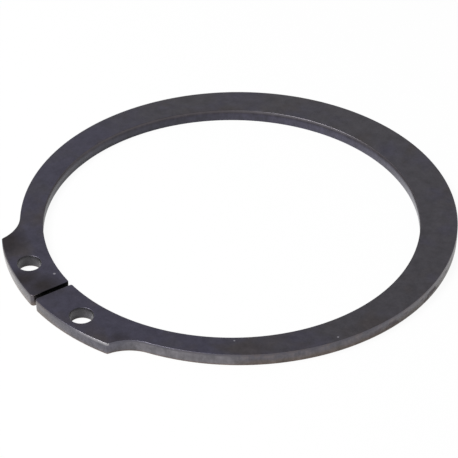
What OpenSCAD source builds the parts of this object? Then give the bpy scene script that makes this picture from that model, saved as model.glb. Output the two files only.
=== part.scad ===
// External retaining ring for a groove in a shaft, stamped in one piece from
// spring steel strip. It lies flat with its gap towards -Y. The origin is the
// centre of the free inner circle, on the underside, and +Z is the shaft's
// axis. The punch came from above, so the top edges are rolled over and the
// bottom edges are square.

/* [Ring] */
// Free inner diameter, before the ring is spread over its shaft
inner_d = 74.5; // [60:0.5:100]
// Thickness of the steel strip
thickness = 2.5; // [1.5:0.1:4]
// Radial width of the band opposite the gap, where it bends the most
back_width = 7.75; // [5.5:0.05:9]
// Radial width that the band's taper runs down to at the gap
front_width = 4.35; // [3:0.05:5]

/* [Lugs] */
// Radial height of a lug above the inner circle
lug_height = 8.25; // [7.5:0.05:12]
// Length of a lug along its outer edge, from the gap to its shoulder
lug_length = 19.6; // [16:0.1:26]
// Radius of the hollow that runs from a lug's shoulder into the band
shoulder_r = 8.4; // [5:0.1:12]
// Width of the gap between the two lugs
gap_width = 1; // [0.4:0.1:6]
// Radius of the corner between a lug's tip and its outer edge
outer_tip_r = 0.7; // [0.4:0.1:1.5]
// Radius of the corner between a lug's tip and the shaft's space
inner_tip_r = 0.4; // [0.4:0.1:1.5]
// Radius that takes the edge off the shoulder's corner
shoulder_tip_r = 0.4; // [0.4:0.1:1]

/* [Plier holes] */
// Diameter of the hole that takes a plier tip
hole_d = 4.65; // [2.5:0.05:5]
// Distance of a hole's centre from the face of its lug tip
hole_from_tip = 9.15; // [6:0.05:11]
// Height of a hole's centre above the inner circle
hole_height = 4.55; // [4:0.05:4.8]

/* [Stamped edges] */
// Radius of the roll-over that the punch leaves round the top face
roll_r = 0.14; // [0.1:0.02:0.3]

/* [Hidden] */
$fn = 120;

inner_r = inner_d / 2;
lug_r = inner_r + lug_height;

// The band's outer edge is a circle moved away from the gap, which tapers the
// band evenly from its back to the gap.
band_r = inner_r + (back_width + front_width) / 2;
band_shift = (back_width - front_width) / 2;

// Curves that run into another surface cross it by this much instead of only
// touching it, which leaves one clean edge.
crossing = 0.002;

// Angle between sides a and b of a triangle whose third side is c.
function angle_between(a, b, c) = acos((a * a + b * b - c * c) / (2 * a * b));

// Point at a distance from the ring's centre, at an angle from the gap.
function polar(r, angle) = r * [sin(angle), -cos(angle)];

// The shoulder is the corner at the far end of a lug's outer edge.
tip_angle = asin(gap_width / 2 / lug_r);
shoulder = polar(lug_r, tip_angle + lug_length / lug_r * 180 / PI);

// The hollow's circle passes through the shoulder and touches the band's
// circle from outside, so a triangle of three known sides gives its centre.
band_centre = [0, band_shift];
shoulder_arm = shoulder - band_centre;
hollow_reach = band_r + shoulder_r - crossing;
hollow_angle = atan2(shoulder_arm[0], -shoulder_arm[1])
    + angle_between(norm(shoulder_arm), hollow_reach, shoulder_r);
hollow = band_centre + polar(hollow_reach, hollow_angle);

// The shoulder's own radius touches the lug's edge and the hollow's circle.
shoulder_tip_reach = lug_r - shoulder_tip_r;
shoulder_tip = polar(shoulder_tip_reach, atan2(hollow[0], -hollow[1])
    - angle_between(shoulder_tip_reach, norm(hollow), shoulder_r + shoulder_tip_r));

hole_x = gap_width / 2 + hole_from_tip;
hole = [hole_x, -sqrt(pow(inner_r + hole_height, 2) - pow(hole_x, 2))];

// Height of the roll-overs' centres, all alike.
roll_z = thickness + crossing - roll_r;

// Cutters run past the steel by this much, and past its outline by the other.
past = 1;
beyond = 2 * lug_r;

// Section through the edge of a disc, with the roll-over at its top.
module disc_section(r, top) {
    square([r, roll_z]);
    intersection() {
        square([r, top]);
        union() {
            square([r - roll_r, top]);
            translate([r - roll_r, roll_z])
                circle(roll_r);
        }
    }
}

// Section of a cutter for a hole or a slot that leaves a rolled-over rim.
module rim_section(r) {
    translate([0, -past])
        square([r, roll_z + 2 * past]);
    difference() {
        translate([0, roll_z])
            square([r + roll_r, roll_r + past]);
        translate([r + roll_r, roll_z])
            circle(roll_r);
    }
}

module disc(r, top = thickness) {
    rotate_extrude()
        disc_section(r, top);
}

module rimmed_hole(r) {
    rotate_extrude()
        rim_section(r);
}

// Prism over an outline, through the whole thickness and past both faces.
module through(points) {
    translate([0, 0, -past])
        linear_extrude(thickness + 2 * past)
            polygon(points);
}

module on_both_sides() {
    children();
    mirror([1, 0, 0])
        children();
}

// The lugs lie between the two lines from the band's centre to the hollows.
module lug_side() {
    far = polar(beyond, hollow_angle);
    through([band_centre, band_centre + far, band_centre + [-far[0], far[1]]]);
}

// Solid plate with the ring's outer outline.
module blank() {
    difference() {
        union() {
            translate(band_centre)
                disc(band_r);
            intersection() {
                disc(lug_r);
                lug_side();
            }
        }
        on_both_sides()
            translate(hollow)
                rimmed_hole(shoulder_r);
    }
}

// Slot from the shaft's space out between the lugs, with rolled-over rims.
module gap() {
    on_both_sides()
        rotate([90, 0, 0])
            linear_extrude(beyond)
                rim_section(gap_width / 2);
}

// Cutter that rounds a corner of a lug. Its two ways lead from the radius's
// centre square to the edges that meet there, and run past them by no more
// than half the gap, so that the other lug stays whole.
module lug_corner(centre, r, way, other_way) {
    reach = r + gap_width / 2;
    difference() {
        through([
            centre,
            centre + reach * way,
            centre + reach * (way + other_way),
            centre + reach * other_way
        ]);
        translate(centre)
            disc(r + crossing, thickness + crossing);
    }
}

// Cutter for a corner of the tip with radius r, whose centre lies at the given
// distance from the ring's centre. Side is 1 for the outer edge of the lug and
// -1 for its edge on the shaft.
module tip_corner(r, reach, side) {
    x = gap_width / 2 + r;
    centre = [x, -sqrt(pow(reach, 2) - pow(x, 2))];
    lug_corner(centre, r, side * centre / reach, [-1, 0]);
}

module retaining_ring() {
    color("dimgray")
        difference() {
            blank();
            rimmed_hole(inner_r);
            gap();
            on_both_sides() {
                translate(hole)
                    rimmed_hole(hole_d / 2);
                tip_corner(inner_tip_r, inner_r + inner_tip_r, -1);
                tip_corner(outer_tip_r, lug_r - outer_tip_r, 1);
                lug_corner(shoulder_tip, shoulder_tip_r, shoulder_tip / shoulder_tip_reach,
                    (hollow - shoulder_tip) / (shoulder_r + shoulder_tip_r));
            }
        }
}

retaining_ring();
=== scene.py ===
# %% [markdown]
# A stamped retaining ring, from a fixed frame to a finished picture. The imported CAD
# model comes first, because it says how big the ring is and where it lies. All that
# follows is built in the same metres and round the same origin, so nothing has to be
# fitted by eye.

# %% Load the fixed frame
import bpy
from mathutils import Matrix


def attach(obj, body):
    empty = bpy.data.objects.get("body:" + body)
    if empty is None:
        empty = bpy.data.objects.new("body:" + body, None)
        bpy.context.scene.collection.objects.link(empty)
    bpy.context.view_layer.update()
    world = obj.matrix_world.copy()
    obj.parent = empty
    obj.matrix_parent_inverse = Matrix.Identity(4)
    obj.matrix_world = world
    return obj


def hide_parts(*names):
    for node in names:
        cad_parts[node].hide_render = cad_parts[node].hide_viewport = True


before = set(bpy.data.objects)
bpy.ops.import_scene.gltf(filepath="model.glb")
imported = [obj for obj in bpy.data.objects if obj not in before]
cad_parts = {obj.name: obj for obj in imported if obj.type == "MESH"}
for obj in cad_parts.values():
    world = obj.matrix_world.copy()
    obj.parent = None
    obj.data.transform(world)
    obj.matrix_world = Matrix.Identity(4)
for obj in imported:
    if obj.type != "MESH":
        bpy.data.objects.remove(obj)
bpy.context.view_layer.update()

import math
import bpy
from mathutils import Vector

MM = 0.001

# %% [markdown]
# Every size below is the one that the part's source names. Only the last three are
# new: the lower part of a stamped wall is torn and not cut, so it leans in a little,
# and the mesh needs a length for its steps.

# %% Sizes of the ring
INNER_R = 37.25 * MM
THICKNESS = 2.5 * MM
BACK_WIDTH = 7.75 * MM
FRONT_WIDTH = 4.35 * MM
LUG_HEIGHT = 8.25 * MM
LUG_LENGTH = 19.6 * MM
HOLLOW_R = 8.4 * MM
GAP_WIDTH = 1.0 * MM
OUTER_TIP_R = 0.7 * MM
INNER_TIP_R = 0.4 * MM
SHOULDER_TIP_R = 0.4 * MM
HOLE_R = 2.325 * MM
HOLE_FROM_TIP = 9.15 * MM
HOLE_HEIGHT = 4.55 * MM
ROLL_R = 0.14 * MM
TORN_HEIGHT = 0.8 * MM
TORN_LEAN = 0.03 * MM
STEP = 0.35 * MM

lug_r = INNER_R + LUG_HEIGHT
band_r = INNER_R + (BACK_WIDTH + FRONT_WIDTH) / 2
band_centre = Vector((0, (BACK_WIDTH - FRONT_WIDTH) / 2))
print(f"Lugs reach {lug_r / MM:.2f} mm and the band's circle is {band_r / MM:.2f} mm")

# %% [markdown]
# The outline is a chain of circular arcs that touch without a kink. Where two arcs
# touch, their centres and the touching point lie on one line, so every centre comes
# from a triangle whose three sides are known. Angles run anticlockwise from +X, and
# the gap lies at -Y. Only the half at +X is worked out, because the ring is symmetric.

# %% Where the arcs meet
def polar(r, angle):
    """The point at a distance and an angle from the ring's centre."""
    return Vector((r * math.cos(angle), r * math.sin(angle)))


def way(start, end):
    """The angle of the line from one point to another."""
    return math.atan2(end.y - start.y, end.x - start.x)


def corner_angle(a, b, opposite):
    """The angle between sides a and b of a triangle."""
    return math.acos((a * a + b * b - opposite * opposite) / (2 * a * b))


origin = Vector((0, 0))
shoulder_angle = math.asin(GAP_WIDTH / 2 / lug_r) + LUG_LENGTH / lug_r - math.pi / 2
shoulder = polar(lug_r, shoulder_angle)
hollow_reach = band_r + HOLLOW_R
hollow_angle = way(band_centre, shoulder) + corner_angle(
    (shoulder - band_centre).length, hollow_reach, HOLLOW_R)
hollow = band_centre + polar(hollow_reach, hollow_angle)
corner_reach = lug_r - SHOULDER_TIP_R
corner = polar(corner_reach, way(origin, hollow) - corner_angle(
    corner_reach, hollow.length, HOLLOW_R + SHOULDER_TIP_R))

inner_tip, outer_tip = (
    Vector((GAP_WIDTH / 2 + r, -math.sqrt(reach ** 2 - (GAP_WIDTH / 2 + r) ** 2)))
    for r, reach in ((INNER_TIP_R, INNER_R + INNER_TIP_R), (OUTER_TIP_R, lug_r - OUTER_TIP_R)))
hole_x = GAP_WIDTH / 2 + HOLE_FROM_TIP
hole = Vector((hole_x, -math.sqrt((INNER_R + HOLE_HEIGHT) ** 2 - hole_x ** 2)))
print("Hollow's centre", [round(v / MM, 3) for v in hollow], "mm, hole's centre",
      [round(v / MM, 3) for v in hole], "mm")

# %% [markdown]
# One row for each arc: its centre, its radius, the angle where it starts and the angle
# that it sweeps. A negative sweep runs the other way round, which makes the hollow
# behind the lug concave.

# %% The chain of arcs
TOP = math.pi / 2
LEFT = math.pi
ARCS = {
    "Bore": (origin, INNER_R, way(origin, inner_tip), TOP - way(origin, inner_tip)),
    "Inner tip corner": (inner_tip, INNER_TIP_R, way(inner_tip, origin),
                         LEFT - way(inner_tip, origin)),
    "Outer tip corner": (outer_tip, OUTER_TIP_R, LEFT, LEFT + way(origin, outer_tip)),
    "Lug edge": (origin, lug_r, way(origin, outer_tip),
                 way(origin, corner) - way(origin, outer_tip)),
    "Shoulder corner": (corner, SHOULDER_TIP_R, way(origin, corner),
                        way(corner, hollow) - way(origin, corner)),
    "Hollow": (hollow, HOLLOW_R, way(hollow, corner),
               way(hollow, band_centre) - way(hollow, corner)),
    "Band": (band_centre, band_r, hollow_angle, TOP - hollow_angle),
}
for name, (centre, radius, start, sweep) in ARCS.items():
    print(f"{name}: radius {radius / MM:.2f} mm, {math.degrees(sweep):.1f} degrees")

# %% [markdown]
# Both the shape and the finish are made with nodes, and a node is always made the
# same way: choose its kind, set its options, and give each socket a value or a link.
# One small function does that everywhere in this file.

# %% A function that adds a node
def add(tree, kind, options=None, sockets=None):
    """Adds a node. A socket's entry is a plain value or another node's output."""
    node = tree.nodes.new(kind)
    for name, value in (options or {}).items():
        setattr(node, name, value)
    for key, value in (sockets or {}).items():
        if isinstance(value, bpy.types.NodeSocket):
            tree.links.new(value, node.inputs[key])
        else:
            node.inputs[key].default_value = value
    column, row = divmod(len(tree.nodes), 6)
    node.location = (column * 220, row * -200)
    return node


def shape_tree(name, inputs):
    """An empty node tree for geometry. Returns it with its input sockets by name."""
    tree = bpy.data.node_groups.new(name, "GeometryNodeTree")
    for label, kind in inputs.items():
        tree.interface.new_socket(label, in_out="INPUT", socket_type=kind)
    tree.interface.new_socket("Geometry", in_out="OUTPUT",
                              socket_type="NodeSocketGeometry")
    return tree, add(tree, "NodeGroupInput").outputs

# %% [markdown]
# The first tree draws one arc as a row of edges. The arc gets as many steps as its
# length needs, and never fewer than eight, so a small corner is as smooth as the
# great circle.

# %% The tree for one arc
arc_tree, given = shape_tree("arc of the outline", {
    "Centre": "NodeSocketVector", "Radius": "NodeSocketFloat", "Start": "NodeSocketFloat",
    "Sweep": "NodeSocketFloat", "Step": "NodeSocketFloat"})
turn = add(arc_tree, "ShaderNodeMath", {"operation": "ABSOLUTE"}, {0: given["Sweep"]})
length = add(arc_tree, "ShaderNodeMath", {"operation": "MULTIPLY"},
             {0: turn.outputs[0], 1: given["Radius"]})
steps = add(arc_tree, "ShaderNodeMath", {"operation": "DIVIDE"},
            {0: length.outputs[0], 1: given["Step"]})
enough = add(arc_tree, "ShaderNodeMath", {"operation": "MAXIMUM"}, {0: steps.outputs[0], 1: 8})
points = add(arc_tree, "ShaderNodeMath", {"operation": "ADD"}, {0: enough.outputs[0], 1: 1})
arc = add(arc_tree, "GeometryNodeCurveArc", {"mode": "RADIUS"}, {
    "Resolution": points.outputs[0], "Radius": given["Radius"],
    "Start Angle": given["Start"], "Sweep Angle": given["Sweep"]})
placed = add(arc_tree, "GeometryNodeTransform", None,
             {"Geometry": arc.outputs["Curve"], "Translation": given["Centre"]})
edges = add(arc_tree, "GeometryNodeCurveToMesh", None, {"Curve": placed.outputs[0]})
add(arc_tree, "NodeGroupOutput", None, {0: edges.outputs[0]})
print("Arc tree has", len(arc_tree.nodes), "nodes")

# %% [markdown]
# The second tree is the ring. It could be modelled by hand, but its shape follows a
# rule, so the tree does what the press does: it takes an outline and gives every edge
# the same section. Its inputs are the sizes, and four more for each arc.

# %% The ring's tree and its inputs
ring_inputs = {label: "NodeSocketFloat" for label in (
    "Thickness", "Roll-over radius", "Torn height", "Torn lean", "Hole radius",
    "Bore radius", "Step")}
ring_inputs["Hole centre"] = "NodeSocketVector"
for name in ARCS:
    ring_inputs[f"{name} centre"] = "NodeSocketVector"
    for part in ("radius", "start", "sweep"):
        ring_inputs[f"{name} {part}"] = "NodeSocketFloat"
ring_inputs["Finish"] = "NodeSocketMaterial"
ring_tree, size = shape_tree("retaining ring", ring_inputs)
print("The ring's tree takes", len(ring_inputs), "inputs")

# %% [markdown]
# The arcs are laid end to end, and a straight row of edges closes the lug's tip. The
# half is mirrored, and merging the points that meet makes one closed loop of it.

# %% The outline
MERGE = 0.001 * MM
TIP_POINTS = 24
chain = add(ring_tree, "GeometryNodeJoinGeometry")
for name in ARCS:
    piece = add(ring_tree, "GeometryNodeGroup", {"node_tree": arc_tree}, {
        "Centre": size[f"{name} centre"], "Radius": size[f"{name} radius"],
        "Start": size[f"{name} start"], "Sweep": size[f"{name} sweep"],
        "Step": size["Step"]})
    ring_tree.links.new(piece.outputs[0], chain.inputs[0])
tip_ends = []
for name in ("Inner tip corner", "Outer tip corner"):
    inwards = add(ring_tree, "ShaderNodeCombineXYZ", None, {0: size[f"{name} radius"]})
    tip_ends.append(add(ring_tree, "ShaderNodeVectorMath", {"operation": "SUBTRACT"}, {
        0: size[f"{name} centre"], 1: inwards.outputs[0]}))
tip_face = add(ring_tree, "GeometryNodeMeshLine", {"mode": "END_POINTS"}, {
    "Count": TIP_POINTS, "Start Location": tip_ends[0].outputs[0],
    "Offset": tip_ends[1].outputs[0]})
ring_tree.links.new(tip_face.outputs[0], chain.inputs[0])
mirrored = add(ring_tree, "GeometryNodeTransform", None,
               {"Geometry": chain.outputs[0], "Scale": (-1, 1, 1)})
whole = add(ring_tree, "GeometryNodeJoinGeometry", None, {0: chain.outputs[0]})
ring_tree.links.new(mirrored.outputs[0], whole.inputs[0])
loop = add(ring_tree, "GeometryNodeMergeByDistance", None,
           {"Geometry": whole.outputs[0], "Distance": MERGE})
clockwise = add(ring_tree, "GeometryNodeMeshToCurve", None, {"Mesh": loop.outputs[0]})
outline = add(ring_tree, "GeometryNodeReverseCurve", None, {0: clockwise.outputs[0]})
print("Half the outline is", len(ARCS), "arcs and one straight tip")

# %% [markdown]
# A sweep puts its section on the right-hand side of the way that a curve runs. The
# steel lies on the left of an outline that runs anticlockwise, and of a hole that runs
# clockwise, so the circles for the plier holes are turned round. Each curve carries a
# mark that tells the finish later which wall it is.

# %% The plier holes
HOLE_STEPS = 64
hole_curves = add(ring_tree, "GeometryNodeJoinGeometry")
for side in (1, -1):
    circle = add(ring_tree, "GeometryNodeCurvePrimitiveCircle", {"mode": "RADIUS"},
                 {"Resolution": HOLE_STEPS, "Radius": size["Hole radius"]})
    clockwise = add(ring_tree, "GeometryNodeReverseCurve", None, {0: circle.outputs[0]})
    centre = add(ring_tree, "ShaderNodeVectorMath", {"operation": "MULTIPLY"},
                 {0: size["Hole centre"], 1: (side, 1, 1)})
    in_place = add(ring_tree, "GeometryNodeTransform", None, {
        "Geometry": clockwise.outputs[0], "Translation": centre.outputs[0]})
    ring_tree.links.new(in_place.outputs[0], hole_curves.inputs[0])
marked = add(ring_tree, "GeometryNodeStoreNamedAttribute",
             {"data_type": "FLOAT", "domain": "POINT"},
             {"Geometry": hole_curves.outputs[0], "Name": "plier hole", "Value": 1.0})
curves = add(ring_tree, "GeometryNodeJoinGeometry", None, {0: marked.outputs[0]})
ring_tree.links.new(outline.outputs[0], curves.inputs[0])
upright = add(ring_tree, "GeometryNodeSetCurveNormal", {"mode": "Z_UP"},
              {"Curve": curves.outputs[0]})
print("Two holes,", round(2 * HOLE_R / MM, 2), "mm across, of", HOLE_STEPS, "steps each")

# %% [markdown]
# The section of a stamped edge, from the top down: a little of the flat face, the
# quarter circle where the punch dragged the surface over, the smooth cut wall, and the
# torn part that leans in. The sweep turns the section upside down, so heights are
# negative here.

# %% The section of a stamped edge
below = {}
for name, start, drop in (("roll", 0.0, size["Roll-over radius"]),
                          ("top", 0.0, size["Thickness"]),
                          ("torn", 0.0, size["Torn height"]),
                          ("lean", 0.0, size["Torn lean"])):
    below[name] = add(ring_tree, "ShaderNodeMath", {"operation": "SUBTRACT"},
                      {0: start, 1: drop}).outputs[0]
roll_level = add(ring_tree, "ShaderNodeMath", {"operation": "SUBTRACT"},
                 {0: below["top"], 1: below["roll"]}).outputs[0]
flat_end = add(ring_tree, "ShaderNodeMath", {"operation": "MULTIPLY"},
               {0: below["roll"], 1: 1.5}).outputs[0]
stops = [(flat_end, below["top"]), (below["roll"], below["top"]), (0.0, roll_level),
         (0.0, below["torn"]), (below["lean"], 0.0)]
corners = [add(ring_tree, "ShaderNodeCombineXYZ", None, {0: x, 1: y}).outputs[0]
           for x, y in stops]
section = add(ring_tree, "GeometryNodeJoinGeometry")
for first, last, count in ((0, 1, 2), (2, 3, 4), (3, 4, 3)):
    straight = add(ring_tree, "GeometryNodeMeshLine", {"mode": "END_POINTS"}, {
        "Count": count, "Start Location": corners[first], "Offset": corners[last]})
    ring_tree.links.new(straight.outputs[0], section.inputs[0])
roll_centre = add(ring_tree, "ShaderNodeCombineXYZ", None, {0: below["roll"], 1: roll_level})
roll = add(ring_tree, "GeometryNodeGroup", {"node_tree": arc_tree}, {
    "Centre": roll_centre.outputs[0], "Radius": size["Roll-over radius"],
    "Start": -math.pi / 2, "Sweep": math.pi / 2, "Step": size["Step"]})
ring_tree.links.new(roll.outputs[0], section.inputs[0])
one_line = add(ring_tree, "GeometryNodeMergeByDistance", None,
               {"Geometry": section.outputs[0], "Distance": MERGE})
profile = add(ring_tree, "GeometryNodeMeshToCurve", None, {"Mesh": one_line.outputs[0]})
print("The section has", len(stops), "corners and one quarter circle")

# %% [markdown]
# Sweeping the section round the curves makes every wall at once. The marks that the
# finish needs are stored on the faces: which of them are a wall at all, and which
# belong to the bore that sits on the shaft.

# %% The walls
BORE_MARGIN = 0.25 * MM
walls = add(ring_tree, "GeometryNodeCurveToMesh", None, {
    "Curve": upright.outputs[0], "Profile Curve": profile.outputs[0]})
outwards = add(ring_tree, "GeometryNodeFlipFaces", None, {0: walls.outputs[0]})
place = add(ring_tree, "GeometryNodeInputPosition")
flat_place = add(ring_tree, "ShaderNodeVectorMath", {"operation": "MULTIPLY"},
                 {0: place.outputs[0], 1: (1, 1, 0)})
reach = add(ring_tree, "ShaderNodeVectorMath", {"operation": "LENGTH"},
            {0: flat_place.outputs[0]})
bore_limit = add(ring_tree, "ShaderNodeMath", {"operation": "ADD"},
                 {0: size["Bore radius"], 1: BORE_MARGIN})
in_bore = add(ring_tree, "ShaderNodeMath", {"operation": "LESS_THAN"},
              {0: reach.outputs["Value"], 1: bore_limit.outputs[0]})
shape = outwards.outputs[0]
for name, value in (("wall", 1.0), ("bore", in_bore.outputs[0])):
    stored = add(ring_tree, "GeometryNodeStoreNamedAttribute",
                 {"data_type": "FLOAT", "domain": "FACE"},
                 {"Geometry": shape, "Name": name, "Value": value})
    shape = stored.outputs[0]
print("After the walls:", len(ring_tree.nodes), "nodes")

# %% [markdown]
# What is still open are the two flat faces. The edges that have only one neighbour are
# their borders, so filling those curves closes the ring without a gap, holes and all.

# %% The two flat faces
neighbours = add(ring_tree, "GeometryNodeInputMeshEdgeNeighbors")
border = add(ring_tree, "FunctionNodeCompare", {"data_type": "INT", "operation": "EQUAL"},
             {2: neighbours.outputs[0], 3: 1})
height = add(ring_tree, "ShaderNodeSeparateXYZ", None, {0: place.outputs[0]})
middle = add(ring_tree, "ShaderNodeMath", {"operation": "MULTIPLY"},
             {0: size["Thickness"], 1: 0.5})
closed = add(ring_tree, "GeometryNodeJoinGeometry", None, {0: shape})
lift = add(ring_tree, "ShaderNodeCombineXYZ", None, {2: size["Thickness"]})
for compare, offset, turned in (
        ("GREATER_THAN", lift.outputs[0], False), ("LESS_THAN", (0, 0, 0), True)):
    this_side = add(ring_tree, "ShaderNodeMath", {"operation": compare},
                    {0: height.outputs[2], 1: middle.outputs[0]})
    both = add(ring_tree, "FunctionNodeBooleanMath", {"operation": "AND"},
               {0: border.outputs[0], 1: this_side.outputs[0]})
    rim = add(ring_tree, "GeometryNodeMeshToCurve", None,
              {"Mesh": shape, "Selection": both.outputs[0]})
    filled = add(ring_tree, "GeometryNodeFillCurve", {"mode": "TRIANGLES"},
                 {"Curve": rim.outputs[0]})
    face = add(ring_tree, "GeometryNodeTransform", None,
               {"Geometry": filled.outputs[0], "Translation": offset}).outputs[0]
    if turned:
        face = add(ring_tree, "GeometryNodeFlipFaces", None, {0: face}).outputs[0]
    ring_tree.links.new(face, closed.inputs[0])
sealed = add(ring_tree, "GeometryNodeMergeByDistance", None,
             {"Geometry": closed.outputs[0], "Distance": MERGE})
print("After the flat faces:", len(ring_tree.nodes), "nodes")

# %% [markdown]
# Smooth shading makes the short steps look round, and the square bottom edge is kept
# sharp by its angle. The tree ends in Realize Instances and Set Material, so what
# leaves it is plain mesh with its finish on.

# %% Shading, and the end of the tree
SHARP_FROM = math.radians(40)
edge_angle = add(ring_tree, "GeometryNodeInputMeshEdgeAngle")
sharp = add(ring_tree, "ShaderNodeMath", {"operation": "GREATER_THAN"},
            {0: edge_angle.outputs["Unsigned Angle"], 1: SHARP_FROM})
soft = add(ring_tree, "GeometryNodeSetShadeSmooth", {"domain": "FACE"},
           {"Geometry": sealed.outputs[0]})
crisp = add(ring_tree, "GeometryNodeStoreNamedAttribute",
            {"data_type": "BOOLEAN", "domain": "EDGE"},
            {"Geometry": soft.outputs[0], "Name": "sharp_edge", "Value": sharp.outputs[0]})
real = add(ring_tree, "GeometryNodeRealizeInstances", None, {0: crisp.outputs[0]})
finished = add(ring_tree, "GeometryNodeSetMaterial", None,
               {"Geometry": real.outputs[0], "Material": size["Finish"]})
add(ring_tree, "NodeGroupOutput", None, {0: finished.outputs[0]})
print("The whole tree has", len(ring_tree.nodes), "nodes")

# %% [markdown]
# Now the finish. The ring is spring steel with a black oxide skin, as it comes from a
# hot salt bath. The skin is thin and dark. It reflects about a twentieth of the light
# that meets it squarely, but far more at a glancing angle, as every metal does. That
# is why the flat top looks almost black while a wall seen along its length looks pale.
# Colours are written as sRGB hex values, and one function turns them to linear.

# %% Colours
def linear(hex_code):
    """An sRGB hex colour as linear red, green, blue and alpha."""
    parts = [int(hex_code[i:i + 2], 16) / 255 for i in (1, 3, 5)]
    return [c / 12.92 if c <= 0.04045 else ((c + 0.055) / 1.055) ** 2.4 for c in parts] + [1]


TOP_GREY = linear("#424045")
TOP_VIOLET = linear("#403e4b")
TOP_BROWN = linear("#413c3c")
TOP_STAIN = linear("#2e2a2d")
NICK = linear("#89878e")
CUT_WALL = linear("#545159")
LUG_WALL = linear("#575661")
RUN_OUT_WALL = linear("#6c696e")
TORN_WALL = linear("#5d534f")
FOOT_BROWN_AND_HIGHLIGHT = linear("#6a5a50")
BORE_BROWN = linear("#454043")
BORE_NAVY = linear("#2a2835")
BORE_VIOLET = linear("#474455")
HOLE_WALL = linear("#4c4a4f")
HOLE_SIDE_SHADE = linear("#1e1d1f")
HOLE_LIP = linear("#4b494f")
SLOT_SHADE = linear("#0a0a0b")
BORE_RIM_HIGHLIGHT = linear("#615e63")
LUG_RIM_HIGHLIGHT = linear("#9c9a9d")
print("The flat faces reflect", [round(c, 3) for c in TOP_GREY[:3]], "of the light")

# %% [markdown]
# A real surface is never even, so the finish starts with its patterns. Each noise is
# sized in millimetres from what it stands for. The tint of the skin drifts over eight
# millimetres, once for violet and once for brown. Grain from rolling the strip clouds
# the flat faces. The walls are mottled, and the punch scratched them upright. The real
# grain and scratches are hundredths of a millimetre wide. They are drawn coarser here,
# because finer ones would not show.

# %% Patterns
DRIFT = 8 * MM
GRAIN = 2.4 * MM
MOTTLE = 1.5 * MM
SCRATCH = 0.5 * MM

# Black oxide on spring steel gives the eye a dark, half-matt metal, which is almost
# black from above and pale along its walls.
finish = bpy.data.materials.new("hot blackened spring steel")
finish.use_nodes = True
skin = finish.node_tree
skin.nodes.clear()
spot = add(skin, "ShaderNodeTexCoord").outputs["Object"]
axes = add(skin, "ShaderNodeSeparateXYZ", None, {0: spot}).outputs
drift = add(skin, "ShaderNodeTexNoise", None,
            {"Vector": spot, "Scale": 1 / DRIFT, "Detail": 4.0, "Roughness": 0.6})
shifted = add(skin, "ShaderNodeMapping", None,
              {"Vector": spot, "Location": (20 * MM, 50 * MM, 10 * MM)})
drift_2 = add(skin, "ShaderNodeTexNoise", None,
              {"Vector": shifted.outputs[0], "Scale": 1 / DRIFT, "Detail": 3.0})
grain = add(skin, "ShaderNodeTexNoise", None,
            {"Vector": spot, "Scale": 1 / GRAIN, "Detail": 4.0, "Roughness": 0.8})
mottles = add(skin, "ShaderNodeTexNoise", None,
              {"Vector": spot, "Scale": 1 / MOTTLE, "Detail": 3.0})
drawn_out = add(skin, "ShaderNodeMapping", None, {"Vector": spot, "Scale": (1, 1, 0.3)})
scratches = add(skin, "ShaderNodeTexNoise", None,
                {"Vector": drawn_out.outputs[0], "Scale": 1 / SCRATCH, "Detail": 2.0})
streaks = add(skin, "ShaderNodeMix", {"data_type": "FLOAT"},
              {0: 0.7, 2: scratches.outputs[0], 3: mottles.outputs[0]})
marks = {name: add(skin, "ShaderNodeAttribute", {"attribute_name": name}).outputs["Fac"]
         for name in ("wall", "bore", "plier hole")}
print("Patterns repeat over", [round(p / MM, 2) for p in (DRIFT, GRAIN, MOTTLE, SCRATCH)], "mm")

# %% [markdown]
# The tint of black oxide follows the thickness of the skin. On this ring it is grey,
# turns violet towards the gap and the left half, and has brown clouds. A sloping value
# is added to the noise, so that chance still draws the borders but one side wins.

# %% The tint of the flat faces
gapwards = add(skin, "ShaderNodeVectorMath", {"operation": "DOT_PRODUCT"},
               {0: spot, 1: (-0.2, -1.0, 0.0)})
slope = add(skin, "ShaderNodeMapRange", None,
            {0: gapwards.outputs["Value"], 1: -10 * MM, 2: 30 * MM, 3: -0.08, 4: 0.24})
sloping = add(skin, "ShaderNodeMath", {"operation": "ADD"},
              {0: drift.outputs[0], 1: slope.outputs[0]})
violet = add(skin, "ShaderNodeMapRange", None,
             {0: sloping.outputs[0], 1: 0.4, 2: 0.7, 3: 0.0, 4: 1.0})
brown = add(skin, "ShaderNodeMapRange", None,
            {0: drift_2.outputs[0], 1: 0.5, 2: 0.66, 3: 0.0, 4: 0.65})
tint = add(skin, "ShaderNodeMix", {"data_type": "RGBA"},
           {0: violet.outputs[0], 6: TOP_GREY, 7: TOP_VIOLET})
oxide = add(skin, "ShaderNodeMix", {"data_type": "RGBA"},
            {0: brown.outputs[0], 6: tint.outputs[2], 7: TOP_BROWN}).outputs[2]
print("After the flat faces' tint:", len(skin.nodes), "nodes")

# %% [markdown]
# Some marks have a place of their own: dark stains where salt dried on the lugs, and
# three small bright nicks. Each is a point with a radius, and its mask is the distance
# to that point. Noise added to the distance makes a stain's border ragged.

# %% Stains and nicks
def spots(places, blur, raggedness):
    """1 within any of the places, which are x, y and radius in mm, and 0 away from them."""
    mask = 0.0
    for x, y, radius in places.values():
        away = add(skin, "ShaderNodeVectorMath", {"operation": "DISTANCE"},
                   {0: spot, 1: (x * MM, y * MM, THICKNESS)})
        edge = add(skin, "ShaderNodeMath", {"operation": "MULTIPLY_ADD"},
                   {0: drift.outputs[0], 1: raggedness * MM, 2: away.outputs["Value"]})
        limit = radius + raggedness / 2
        hit = add(skin, "ShaderNodeMapRange", None, {
            0: edge.outputs[0], 1: (limit + blur) * MM, 2: limit * MM, 3: 0.0, 4: 1.0})
        mask = add(skin, "ShaderNodeMath", {"operation": "MAXIMUM"},
                   {0: mask, 1: hit.outputs[0]}).outputs[0]
    return mask


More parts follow.
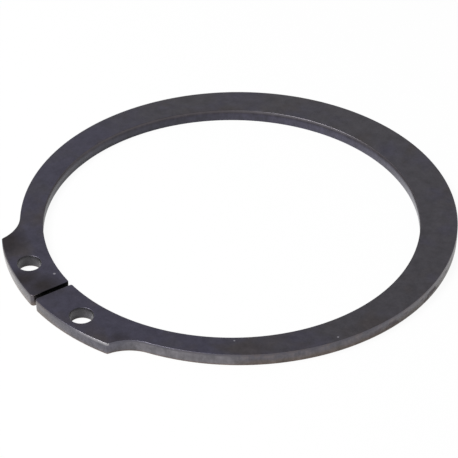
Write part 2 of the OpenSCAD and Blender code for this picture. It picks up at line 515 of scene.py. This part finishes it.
STAINS = {"shoulder of the left lug": (-19.0, -41.5, 2.1),
          "edge of the left lug": (-6.0, -44.0, 0.8),
          "tip of the left lug": (-2.0, -42.0, 0.8),
          "shoulder of the right lug": (19.5, -38.5, -1.0)}
NICKS = {"left lug": (-4.1, -38.35, 0.16), "front of the band": (31.9, -21.05, 0.08),
         "right of the band": (41.85, -4.5, 0.1)}
for places, blur, raggedness, tone in ((STAINS, 3.5, 4.0, TOP_STAIN), (NICKS, 0.15, 0.0, NICK)):
    oxide = add(skin, "ShaderNodeMix", {"data_type": "RGBA"},
                {0: spots(places, blur, raggedness), 6: oxide, 7: tone}).outputs[2]
print(len(STAINS), "stains and", len(NICKS), "nicks")

# %% [markdown]
# The outer walls show how the ring was made. The punch cuts the upper part smooth and
# tears the lower part, which is therefore browner. At the foot the wall is lighter and
# browner still, partly torn steel and partly a painted highlight. The border between
# the cut and torn parts is wavy, and brown mottles reach into the cut part too.

# %% Cut and torn steel
wavy = add(skin, "ShaderNodeMath", {"operation": "MULTIPLY_ADD"},
           {0: mottles.outputs[0], 1: 1.4 * MM, 2: axes[2]})
torn = add(skin, "ShaderNodeMapRange", None, {
    0: wavy.outputs[0], 1: TORN_HEIGHT + 1.3 * MM, 2: TORN_HEIGHT + 0.5 * MM, 3: 0.0, 4: 1.0})
warm = add(skin, "ShaderNodeMapRange", None,
           {0: mottles.outputs[0], 1: 0.42, 2: 0.62, 3: 0.0, 4: 0.45})
brownish = add(skin, "ShaderNodeMath", {"operation": "MAXIMUM"},
               {0: torn.outputs[0], 1: warm.outputs[0]})
# Painted highlight as well as brown torn steel: the foot is lighter.
foot = add(skin, "ShaderNodeMapRange", None,
           {0: axes[2], 1: 0.4 * MM, 2: 0.1 * MM, 3: 0.0, 4: 0.8})
print("The torn part is browner up to about", round(TORN_HEIGHT / MM, 2), "mm")

# %% [markdown]
# The skin also came out bluer on the right lug, and paler where the hollows run out
# into the band, below the rolled edge. The shares lie one over the other, from the cut
# steel's colour up to the foot's.

# %% The outer walls' colour
right_side = add(skin, "ShaderNodeMapRange", None,
                 {0: axes[0], 1: 2 * MM, 2: 12 * MM, 3: 0.0, 4: 1.0})
lug_side = add(skin, "ShaderNodeMapRange", None,
               {0: axes[1], 1: -20 * MM, 2: -34 * MM, 3: 0.0, 4: 0.7})
bluish = add(skin, "ShaderNodeMath", {"operation": "MULTIPLY"},
             {0: right_side.outputs[0], 1: lug_side.outputs[0]})
from_run_out = add(skin, "ShaderNodeMath", {"operation": "ADD"}, {0: axes[1], 1: 30 * MM})
from_run_out = add(skin, "ShaderNodeMath", {"operation": "ABSOLUTE"},
                   {0: from_run_out.outputs[0]})
run_out = add(skin, "ShaderNodeMapRange", None,
              {0: from_run_out.outputs[0], 1: 9 * MM, 2: 5.5 * MM, 3: 0.0, 4: 0.8})
under_roll = add(skin, "ShaderNodeMapRange", None,
                 {0: axes[2], 1: 2.0 * MM, 2: 2.35 * MM, 3: 1.0, 4: 0.1})
run_out = add(skin, "ShaderNodeMath", {"operation": "MULTIPLY"},
              {0: run_out.outputs[0], 1: under_roll.outputs[0]})
wall = CUT_WALL
for share, tone in ((brownish, TORN_WALL), (bluish, LUG_WALL), (run_out, RUN_OUT_WALL),
                    (foot, FOOT_BROWN_AND_HIGHLIGHT)):
    wall = add(skin, "ShaderNodeMix", {"data_type": "RGBA"},
               {0: share.outputs[0], 6: wall, 7: tone}).outputs[2]
print("After the outer walls' colour:", len(skin.nodes), "nodes")

# %% [markdown]
# The bore's skin came out navy blue below and brown above, and turns violet towards
# the back. The plier holes are grey, with painted shade at their sides, where little
# light gets in. Each colour replaces the wall's where its mark says so.

# %% The bore and the plier holes
upper = add(skin, "ShaderNodeMapRange", None,
            {0: axes[2], 1: 1.5 * MM, 2: 2.2 * MM, 3: 0.0, 4: 1.0})
backwards = add(skin, "ShaderNodeMapRange", None,
                 {0: axes[1], 1: 10 * MM, 2: 34 * MM, 3: 0.0, 4: 0.8})
inner = add(skin, "ShaderNodeMix", {"data_type": "RGBA"},
            {0: backwards.outputs[0], 6: BORE_NAVY, 7: BORE_VIOLET})
inner = add(skin, "ShaderNodeMix", {"data_type": "RGBA"},
            {0: upper.outputs[0], 6: inner.outputs[2], 7: BORE_BROWN}).outputs[2]
lip = add(skin, "ShaderNodeMapRange", None,
          {0: axes[2], 1: 1.2 * MM, 2: 2.3 * MM, 3: 0.0, 4: 1.0})
from_middle = add(skin, "ShaderNodeMath", {"operation": "ABSOLUTE"}, {0: axes[0]})
sideways = add(skin, "ShaderNodeMath", {"operation": "SUBTRACT"},
               {0: from_middle.outputs[0], 1: hole_x})
sideways = add(skin, "ShaderNodeMath", {"operation": "ABSOLUTE"}, {0: sideways.outputs[0]})
# Painted shade: the holes' sides are darker.
hole_side_shade = add(skin, "ShaderNodeMapRange", None, {
    0: sideways.outputs[0], 1: 0.65 * HOLE_R, 2: HOLE_R, 3: 0.0, 4: 0.7})
hole_wall = add(skin, "ShaderNodeMix", {"data_type": "RGBA"},
                {0: lip.outputs[0], 6: HOLE_WALL, 7: HOLE_LIP})
hole_wall = add(skin, "ShaderNodeMix", {"data_type": "RGBA"},
                {0: hole_side_shade.outputs[0], 6: hole_wall.outputs[2], 7: HOLE_SIDE_SHADE}).outputs[2]
for mark, tone in (("bore", inner), ("plier hole", hole_wall)):
    wall = add(skin, "ShaderNodeMix", {"data_type": "RGBA"},
               {0: marks[mark], 6: wall, 7: tone}).outputs[2]
print("After all the walls' colours:", len(skin.nodes), "nodes")

# %% [markdown]
# Hardly any light gets into the slot between the lugs, so painted shade makes its walls nearly black.
# It is narrow in x and lies about 36 to 44 mm in front of the ring's centre.
# The walls' colour ends where the rolled-over edge has turned level, and the flat
# face's colour begins.

# %% The slot, and the border between wall and flat face
narrow = add(skin, "ShaderNodeMapRange", None, {
    0: from_middle.outputs[0], 1: GAP_WIDTH / 2 + 0.25 * MM, 2: GAP_WIDTH / 2 + 0.03 * MM,
    3: 0.0, 4: 1.0})
along = add(skin, "ShaderNodeMath", {"operation": "ADD"}, {0: axes[1], 1: 40 * MM})
along = add(skin, "ShaderNodeMath", {"operation": "ABSOLUTE"}, {0: along.outputs[0]})
between = add(skin, "ShaderNodeMapRange", None,
              {0: along.outputs[0], 1: 4.8 * MM, 2: 3.2 * MM, 3: 0.0, 4: 1.0})
in_slot = add(skin, "ShaderNodeMath", {"operation": "MULTIPLY"},
              {0: narrow.outputs[0], 1: between.outputs[0]})
# Painted shade: the slot's walls are nearly black.
wall = add(skin, "ShaderNodeMix", {"data_type": "RGBA"},
           {0: in_slot.outputs[0], 6: wall, 7: SLOT_SHADE}).outputs[2]
not_level = add(skin, "ShaderNodeMapRange", None, {
    0: axes[2], 1: THICKNESS, 2: THICKNESS - 0.3 * ROLL_R, 3: 0.0, 4: 1.0})
on_wall = add(skin, "ShaderNodeMath", {"operation": "MULTIPLY"},
              {0: marks["wall"], 1: not_level.outputs[0]})
colour = add(skin, "ShaderNodeMix", {"data_type": "RGBA"},
             {0: on_wall.outputs[0], 6: oxide, 7: wall})
print("The slot is", round(GAP_WIDTH / MM, 2), "mm wide")

# %% [markdown]
# The rolled edges get a painted highlight: a lighter colour on the upper strip of the
# wall, with less roughness, which widens the soft box's bright line. On the right lug's
# outer edge it is strongest at its shoulder. Round the bore's edge it runs all round,
# and is strongest at the back of the left half.

# %% The rolled edges
HIGHLIGHT_FROM, HIGHLIGHT_FULL = THICKNESS - 0.6 * MM, THICKNESS - 0.3 * MM
top_strip = add(skin, "ShaderNodeMapRange", None,
                {0: axes[2], 1: HIGHLIGHT_FROM, 2: HIGHLIGHT_FULL, 3: 0.0, 4: 1.0})
on_roll = add(skin, "ShaderNodeMath", {"operation": "MULTIPLY"},
              {0: on_wall.outputs[0], 1: top_strip.outputs[0]})
shoulderwards = add(skin, "ShaderNodeMapRange", None, {
    0: axes[0], 1: 10 * MM, 2: 19 * MM, 3: 0.0, 4: 1.0})
reach = add(skin, "ShaderNodeVectorMath", {"operation": "LENGTH"}, {0: spot})
on_lug = add(skin, "ShaderNodeMath", {"operation": "GREATER_THAN"},
             {0: reach.outputs["Value"], 1: lug_r - 0.3 * MM})
lug_highlight = add(skin, "ShaderNodeMath", {"operation": "MULTIPLY"},
           {0: shoulderwards.outputs[0], 1: on_lug.outputs[0]})
far_back = add(skin, "ShaderNodeMapRange", None,
               {0: axes[1], 1: 18 * MM, 2: 28 * MM, 3: 0.35, 4: 1.0})
leftwards = add(skin, "ShaderNodeMapRange", None,
                {0: axes[0], 1: -2 * MM, 2: -11 * MM, 3: 0.4, 4: 1.0})
bore_highlight = add(skin, "ShaderNodeMath", {"operation": "MULTIPLY"},
             {0: leftwards.outputs[0], 1: far_back.outputs[0]})
bore_highlight = add(skin, "ShaderNodeMath", {"operation": "MULTIPLY"},
             {0: marks["bore"], 1: bore_highlight.outputs[0]})
smooth = 0.0
# Painted highlight on the rolled edges: a lighter colour along their upper strip.
for share, tone in ((bore_highlight, BORE_RIM_HIGHLIGHT), (lug_highlight, LUG_RIM_HIGHLIGHT)):
    highlighted = add(skin, "ShaderNodeMath", {"operation": "MULTIPLY"},
                {0: share.outputs[0], 1: on_roll.outputs[0]})
    colour = add(skin, "ShaderNodeMix", {"data_type": "RGBA"},
                 {0: highlighted.outputs[0], 6: colour.outputs[2], 7: tone})
    smooth = add(skin, "ShaderNodeMath", {"operation": "MAXIMUM"},
                 {0: smooth, 1: highlighted.outputs[0]}).outputs[0]
gloss = add(skin, "ShaderNodeMapRange", None, {0: smooth, 1: 0.0, 2: 1.0, 3: 0.38, 4: 0.29})
print("Wear begins at", round(HIGHLIGHT_FROM / MM, 2), "mm, full at", round(HIGHLIGHT_FULL / MM, 2), "mm")

# %% [markdown]
# The patterns shade the colour by up to a fifth on the flat faces and two fifths on
# the walls, and raise the surface into a faint relief. The rolled edges stay calm,
# because the punch ironed them.

# %% Shade and relief
RELIEF = 0.02 * MM
RELIEF_SHARE = 0.1
pattern = add(skin, "ShaderNodeMix", {"data_type": "FLOAT"},
              {0: on_wall.outputs[0], 2: grain.outputs[0], 3: streaks.outputs[0]})
calm = add(skin, "ShaderNodeMapRange", None,
           {0: on_roll.outputs[0], 1: 0.0, 2: 1.0, 3: 1.0, 4: 0.2})
spread = add(skin, "ShaderNodeMapRange", None,
             {0: on_wall.outputs[0], 1: 0.0, 2: 1.0, 3: 0.2, 4: 0.4})
spread = add(skin, "ShaderNodeMath", {"operation": "MULTIPLY"},
             {0: spread.outputs[0], 1: calm.outputs[0]})
shade = add(skin, "ShaderNodeMapRange", None,
            {0: pattern.outputs[0], 1: 0.3, 2: 0.7, 3: -1.0, 4: 1.0})
shade = add(skin, "ShaderNodeMath", {"operation": "MULTIPLY_ADD"},
            {0: shade.outputs[0], 1: spread.outputs[0], 2: 1.0})
toned = add(skin, "ShaderNodeVectorMath", {"operation": "SCALE"},
            {0: colour.outputs[2], "Scale": shade.outputs[0]})
rise = add(skin, "ShaderNodeMath", {"operation": "MULTIPLY"},
           {0: pattern.outputs[0], 1: calm.outputs[0]})
relief = add(skin, "ShaderNodeBump", None,
             {"Height": rise.outputs[0], "Strength": RELIEF_SHARE, "Distance": RELIEF})
print("Relief of", round(RELIEF * RELIEF_SHARE / MM, 4), "mm")

# %% [markdown]
# A wall seen along its length is pale. Painted shade darkens that glancing reflection,
# through Specular Tint, on an upper strip of the wall round the bore, and on the left
# lug more and more towards its shoulder. There and at the right of the bore the strip
# reaches further down.

# %% Where painted shade darkens the walls
SHADE_STRIP_FROM, SHADE_STRIP_FULL = 1.3 * MM, 2.2 * MM
left = add(skin, "ShaderNodeMath", {"operation": "LESS_THAN"}, {0: axes[0], 1: 0.0})
on_left_lug = add(skin, "ShaderNodeMath", {"operation": "MULTIPLY"},
                  {0: left.outputs[0], 1: on_lug.outputs[0]})
growing = add(skin, "ShaderNodeMapRange", None,
              {0: axes[0], 1: -4 * MM, 2: -14 * MM, 3: 0.15, 4: 1.0})
left_lug_shade = add(skin, "ShaderNodeMath", {"operation": "MULTIPLY"},
                 {0: growing.outputs[0], 1: on_left_lug.outputs[0]})
shaded_walls = add(skin, "ShaderNodeMath", {"operation": "MAXIMUM"},
             {0: marks["bore"], 1: left_lug_shade.outputs[0]})
shoulder_end = add(skin, "ShaderNodeMapRange", None,
                   {0: axes[0], 1: -13 * MM, 2: -17 * MM, 3: 0.0, 4: 1.4})
shoulder_end = add(skin, "ShaderNodeMath", {"operation": "MULTIPLY"},
                   {0: shoulder_end.outputs[0], 1: on_left_lug.outputs[0]})
bore_end = add(skin, "ShaderNodeMapRange", None,
               {0: axes[0], 1: 12.5 * MM, 2: 18 * MM, 3: 0.0, 4: 1.0})
bore_end = add(skin, "ShaderNodeMath", {"operation": "MULTIPLY"},
               {0: bore_end.outputs[0], 1: marks["bore"]})
deeper = add(skin, "ShaderNodeMath", {"operation": "MAXIMUM"},
             {0: shoulder_end.outputs[0], 1: bore_end.outputs[0]})
level = add(skin, "ShaderNodeMath", {"operation": "MULTIPLY_ADD"},
            {0: deeper.outputs[0], 1: 0.5 * MM, 2: axes[2]})
strip = add(skin, "ShaderNodeMapRange", None,
            {0: level.outputs[0], 1: SHADE_STRIP_FROM, 2: SHADE_STRIP_FULL, 3: 0.0, 4: 1.0})
# Painted shade: Specular Tint darkens this strip's glancing reflection.
dull_and_shade = add(skin, "ShaderNodeMath", {"operation": "MULTIPLY"},
           {0: strip.outputs[0], 1: shaded_walls.outputs[0]})
print("Scores begin at", round(SHADE_STRIP_FROM / MM, 2), "mm, full at", round(SHADE_STRIP_FULL / MM, 2), "mm")

# %% [markdown]
# Towards the back of the band, the outer wall has crumbled in patches. They follow the
# mottles, and lie above the foot and below the cut strip at the top. They are rough
# too, so they join the same mask as the painted shade. Specular Tint darkens a metal at
# glancing angles alone and leaves its colour from the front, which is just what a
# rough place does.

# %% Where the wall has crumbled
PATCHES_FULL, PATCHES_END = 1.3 * MM, 1.9 * MM
crumbled = add(skin, "ShaderNodeMapRange", None,
               {0: mottles.outputs[0], 1: 0.46, 2: 0.58, 3: 0.0, 4: 0.8})
low = add(skin, "ShaderNodeMapRange", None,
          {0: axes[2], 1: PATCHES_END, 2: PATCHES_FULL, 3: 0.0, 4: 1.0})
above_foot = add(skin, "ShaderNodeMapRange", None,
                 {0: axes[2], 1: 0.1 * MM, 2: 0.6 * MM, 3: 0.2, 4: 1.0})
from_crumbled = add(skin, "ShaderNodeMath", {"operation": "SUBTRACT"},
                    {0: axes[1], 1: 13 * MM})
from_crumbled = add(skin, "ShaderNodeMath", {"operation": "ABSOLUTE"},
                    {0: from_crumbled.outputs[0]})
along_band = add(skin, "ShaderNodeMapRange", None,
                 {0: from_crumbled.outputs[0], 1: 18 * MM, 2: 8 * MM, 3: 0.0, 4: 1.0})
for share in (low, above_foot, along_band):
    crumbled = add(skin, "ShaderNodeMath", {"operation": "MULTIPLY"},
                   {0: crumbled.outputs[0], 1: share.outputs[0]})
outside = add(skin, "ShaderNodeMath", {"operation": "LESS_THAN"}, {0: marks["bore"], 1: 0.5})
crumbled = add(skin, "ShaderNodeMath", {"operation": "MULTIPLY"},
               {0: crumbled.outputs[0], 1: outside.outputs[0]})
dull_and_shade = add(skin, "ShaderNodeMath", {"operation": "MAXIMUM"},
           {0: dull_and_shade.outputs[0], 1: crumbled.outputs[0]})
dull_and_shade = add(skin, "ShaderNodeMath", {"operation": "MULTIPLY"},
           {0: dull_and_shade.outputs[0], 1: on_wall.outputs[0]})
glance = add(skin, "ShaderNodeMapRange", None, {0: dull_and_shade.outputs[0], 3: 1.0, 4: 0.35})
glance = add(skin, "ShaderNodeCombineColor", None,
             {0: glance.outputs[0], 1: glance.outputs[0], 2: glance.outputs[0]})
print("Patches fade out between", round(PATCHES_FULL / MM, 2), "and", round(PATCHES_END / MM, 2), "mm")

# %% [markdown]
# A film of oil lies on the walls, where the wiping cloth doesn't reach. It is a clear
# coat with a share of 0.8, and more on the outer wall towards the back. There is none
# in the slot, little on rough steel and on the painted shade strip, and the cloth has
# taken some off the rolled edges.

# %% Oil, and the finished steel
wiped = add(skin, "ShaderNodeMath", {"operation": "MULTIPLY"}, {0: on_roll.outputs[0], 1: 0.4})
rough = add(skin, "ShaderNodeMath", {"operation": "MULTIPLY"}, {0: dull_and_shade.outputs[0], 1: 0.9})
dry = in_slot.outputs[0]
for reason in (wiped, rough):
    dry = add(skin, "ShaderNodeMath", {"operation": "MAXIMUM"},
              {0: dry, 1: reason.outputs[0]}).outputs[0]
oiled = add(skin, "ShaderNodeMath", {"operation": "SUBTRACT", "use_clamp": True},
            {0: on_wall.outputs[0], 1: dry})
film = add(skin, "ShaderNodeMapRange", None,
           {0: axes[1], 1: 20 * MM, 2: 32 * MM, 3: 0.0, 4: 0.2})
film = add(skin, "ShaderNodeMath", {"operation": "MULTIPLY_ADD"},
           {0: film.outputs[0], 1: outside.outputs[0], 2: 0.8})
oil = add(skin, "ShaderNodeMath", {"operation": "MULTIPLY"},
          {0: oiled.outputs[0], 1: film.outputs[0]})
steel = add(skin, "ShaderNodeBsdfPrincipled", None, {
    "Base Color": toned.outputs[0], "Metallic": 1.0, "Roughness": gloss.outputs[0],
    "Specular Tint": glance.outputs[0], "Coat Weight": oil.outputs[0],
    "Coat Roughness": 0.2, "Normal": relief.outputs[0]})
add(skin, "ShaderNodeOutputMaterial", None, {0: steel.outputs[0]})
print("The finish has", len(skin.nodes), "nodes")

# %% [markdown]
# The tree is put on an empty mesh and its inputs are set by identifier, before
# anything reads the object. The result is then copied out as a plain mesh, so what
# goes on holds no live modifier.

# %% Make the ring
values = {
    "Thickness": THICKNESS, "Roll-over radius": ROLL_R, "Torn height": TORN_HEIGHT,
    "Torn lean": TORN_LEAN, "Hole radius": HOLE_R, "Bore radius": INNER_R, "Step": STEP,
    "Hole centre": hole.to_3d(), "Finish": finish}
for name, (centre, radius, start, sweep) in ARCS.items():
    values[f"{name} centre"] = centre.to_3d()
    values[f"{name} radius"] = radius
    values[f"{name} start"] = start
    values[f"{name} sweep"] = sweep
ring = bpy.data.objects.new("stamped_ring", bpy.data.meshes.new("empty ring"))
bpy.context.scene.collection.objects.link(ring)
modifier = ring.modifiers.new("retaining ring", "NODES")
modifier.node_group = ring_tree
for item in ring_tree.interface.items_tree:
    if item.in_out == "INPUT":
        modifier[item.identifier] = values[item.name]
solid = bpy.data.meshes.new_from_object(
    ring.evaluated_get(bpy.context.evaluated_depsgraph_get()))
ring.modifiers.clear()
ring.data = solid
solid.name = "stamped ring"
print("Ring:", len(solid.vertices), "points and", len(solid.polygons), "faces")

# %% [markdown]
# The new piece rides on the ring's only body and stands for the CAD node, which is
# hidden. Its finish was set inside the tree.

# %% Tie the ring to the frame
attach(ring, "root")
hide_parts("retaining_ring")
print(ring.name, "wears", [m.name for m in ring.data.materials if m])

# %% [markdown]
# The photograph shows the ring on plain white. The floor is one great sheet, just
# below the ring so that the two never share a surface.

# %% The floor's sheet
FLOOR_REACH = 3.0
FLOOR_DROP = 0.01 * MM
floor_mesh = bpy.data.meshes.new("studio floor")
floor_mesh.from_pydata(
    [(-FLOOR_REACH, -FLOOR_REACH, 0), (FLOOR_REACH, -FLOOR_REACH, 0),
     (FLOOR_REACH, FLOOR_REACH, 0), (-FLOOR_REACH, FLOOR_REACH, 0)], [], [(0, 1, 2, 3)])
floor = bpy.data.objects.new("studio_floor", floor_mesh)
floor.location.z = -FLOOR_DROP
bpy.context.scene.collection.objects.link(floor)
print("The floor reaches", FLOOR_REACH, "m each way")

# %% [markdown]
# A white floor that is lit like the ring comes out grey, so the paper also glows a
# little where the camera looks at it, and less in a reflection. A faint shadow stays.

# %% The floor's paper
def seen(tree, direct, mirrored):
    """The first value where the camera looks, the second in a reflection, or else 0."""
    path = add(tree, "ShaderNodeLightPath")
    through = add(tree, "ShaderNodeMath", {"operation": "MAXIMUM"}, {
        0: path.outputs["Is Camera Ray"], 1: path.outputs["Is Transmission Ray"]})
    straight = add(tree, "ShaderNodeMath", {"operation": "MULTIPLY"},
                   {0: through.outputs[0], 1: direct})
    return add(tree, "ShaderNodeMath", {"operation": "MULTIPLY_ADD"}, {
        0: path.outputs["Is Glossy Ray"], 1: mirrored, 2: straight.outputs[0]}).outputs[0]


# Plain white studio paper: it gives the eye only a faint shadow to rest the ring on.
paper = bpy.data.materials.new("white studio paper")
paper.use_nodes = True
sheet = paper.node_tree
sheet.nodes.clear()
matt = add(sheet, "ShaderNodeBsdfDiffuse", None, {"Color": linear("#f2f2f2")})
glow = add(sheet, "ShaderNodeEmission", None, {"Color": (1, 1, 1, 1), "Strength": 1.0})
blend = add(sheet, "ShaderNodeMixShader", None,
            {0: seen(sheet, 0.93, 0.35), 1: matt.outputs[0], 2: glow.outputs[0]})
add(sheet, "ShaderNodeOutputMaterial", None, {0: blend.outputs[0]})
floor_mesh.materials.append(paper)
print(paper.name, "has", len(sheet.nodes), "nodes")

# %% [markdown]
# The world is white where the camera or a reflection looks at it, apart from a dimmer
# ceiling, which keeps the flat top dark. For the light that falls on things it is
# dimmer too, so that the lamp can still shape them.

# %% The world
FILL = 0.35
world = bpy.data.worlds.new("white studio")
world.use_nodes = True
bpy.context.scene.world = world
sky = world.node_tree
sky.nodes.clear()
direction = add(sky, "ShaderNodeTexCoord").outputs["Generated"]
upwards = add(sky, "ShaderNodeSeparateXYZ", None, {0: direction})
ceiling = add(sky, "ShaderNodeMapRange", None,
              {0: upwards.outputs[2], 1: 0.75, 2: 0.95, 3: 1.0, 4: 0.35})
bounce = add(sky, "ShaderNodeMath", {"operation": "MAXIMUM"},
             {0: seen(sky, 1.0, ceiling.outputs[0]), 1: FILL})
dome = add(sky, "ShaderNodeBackground", None,
           {"Color": (1, 1, 1, 1), "Strength": bounce.outputs[0]})
add(sky, "ShaderNodeOutputWorld", None, {0: dome.outputs[0]})
print("The world lights things with a strength of", FILL)

# %% [markdown]
# One soft box stands to the left of the camera. The rolled-over edges mirror it, which
# gives the bright line along the lug and round the back of the bore. Its direction
# follows from those lines: it is the mirror image of the camera in an edge that faces
# 29 degrees from -Y. It is large enough that the line stays even.

# %% The lamp
SOFT_BOX_SIZE, SOFT_BOX_WATTS = 0.3, 3.4


def from_centre(distance, azimuth, elevation):
    """A point at a distance from the ring's centre; azimuth 0 is -Y and 90 is +X."""
    a, e = math.radians(azimuth), math.radians(elevation)
    return distance * Vector((math.sin(a) * math.cos(e), -math.cos(a) * math.cos(e),
                              math.sin(e)))


lamp = bpy.data.lights.new("soft box", "AREA")
lamp.size = SOFT_BOX_SIZE
lamp.energy = SOFT_BOX_WATTS
stand = bpy.data.objects.new("soft box", lamp)
stand.location = from_centre(0.6, -17, 60)
stand.rotation_euler = (-stand.location).to_track_quat("-Z", "Y").to_euler()
bpy.context.scene.collection.objects.link(stand)
print("The soft box stands at", [round(v, 3) for v in stand.location])

# %% [markdown]
# The camera stands where the photographer's did. A long lens from half a metre away
# keeps the ring's far side nearly as wide as its near side, as in the photograph. It
# aims a little beside the ring's centre, as the photographer did.

# %% Camera
CAMERA_AZIMUTH, CAMERA_ELEVATION = 55.799, 37.115
CAMERA_DISTANCE = 490.67 * MM
AIM_RIGHT, AIM_UP = -0.523 * MM, -0.388 * MM
lens = bpy.data.cameras.new("camera")
lens.sensor_width = 36
lens.lens = 194.387
lens.clip_start, lens.clip_end = 0.01, 20
camera = bpy.data.objects.new("camera", lens)
bpy.context.scene.collection.objects.link(camera)
camera.location = from_centre(CAMERA_DISTANCE, CAMERA_AZIMUTH, CAMERA_ELEVATION)
ahead = -camera.location.normalized()
right = ahead.cross(Vector((0, 0, 1))).normalized()
aim = right * AIM_RIGHT + right.cross(ahead) * AIM_UP
camera.rotation_euler = (aim - camera.location).to_track_quat("-Z", "Y").to_euler()
bpy.context.scene.camera = camera
bpy.context.scene.view_settings.view_transform = "Standard"
print("Camera at", [round(v, 4) for v in camera.location])
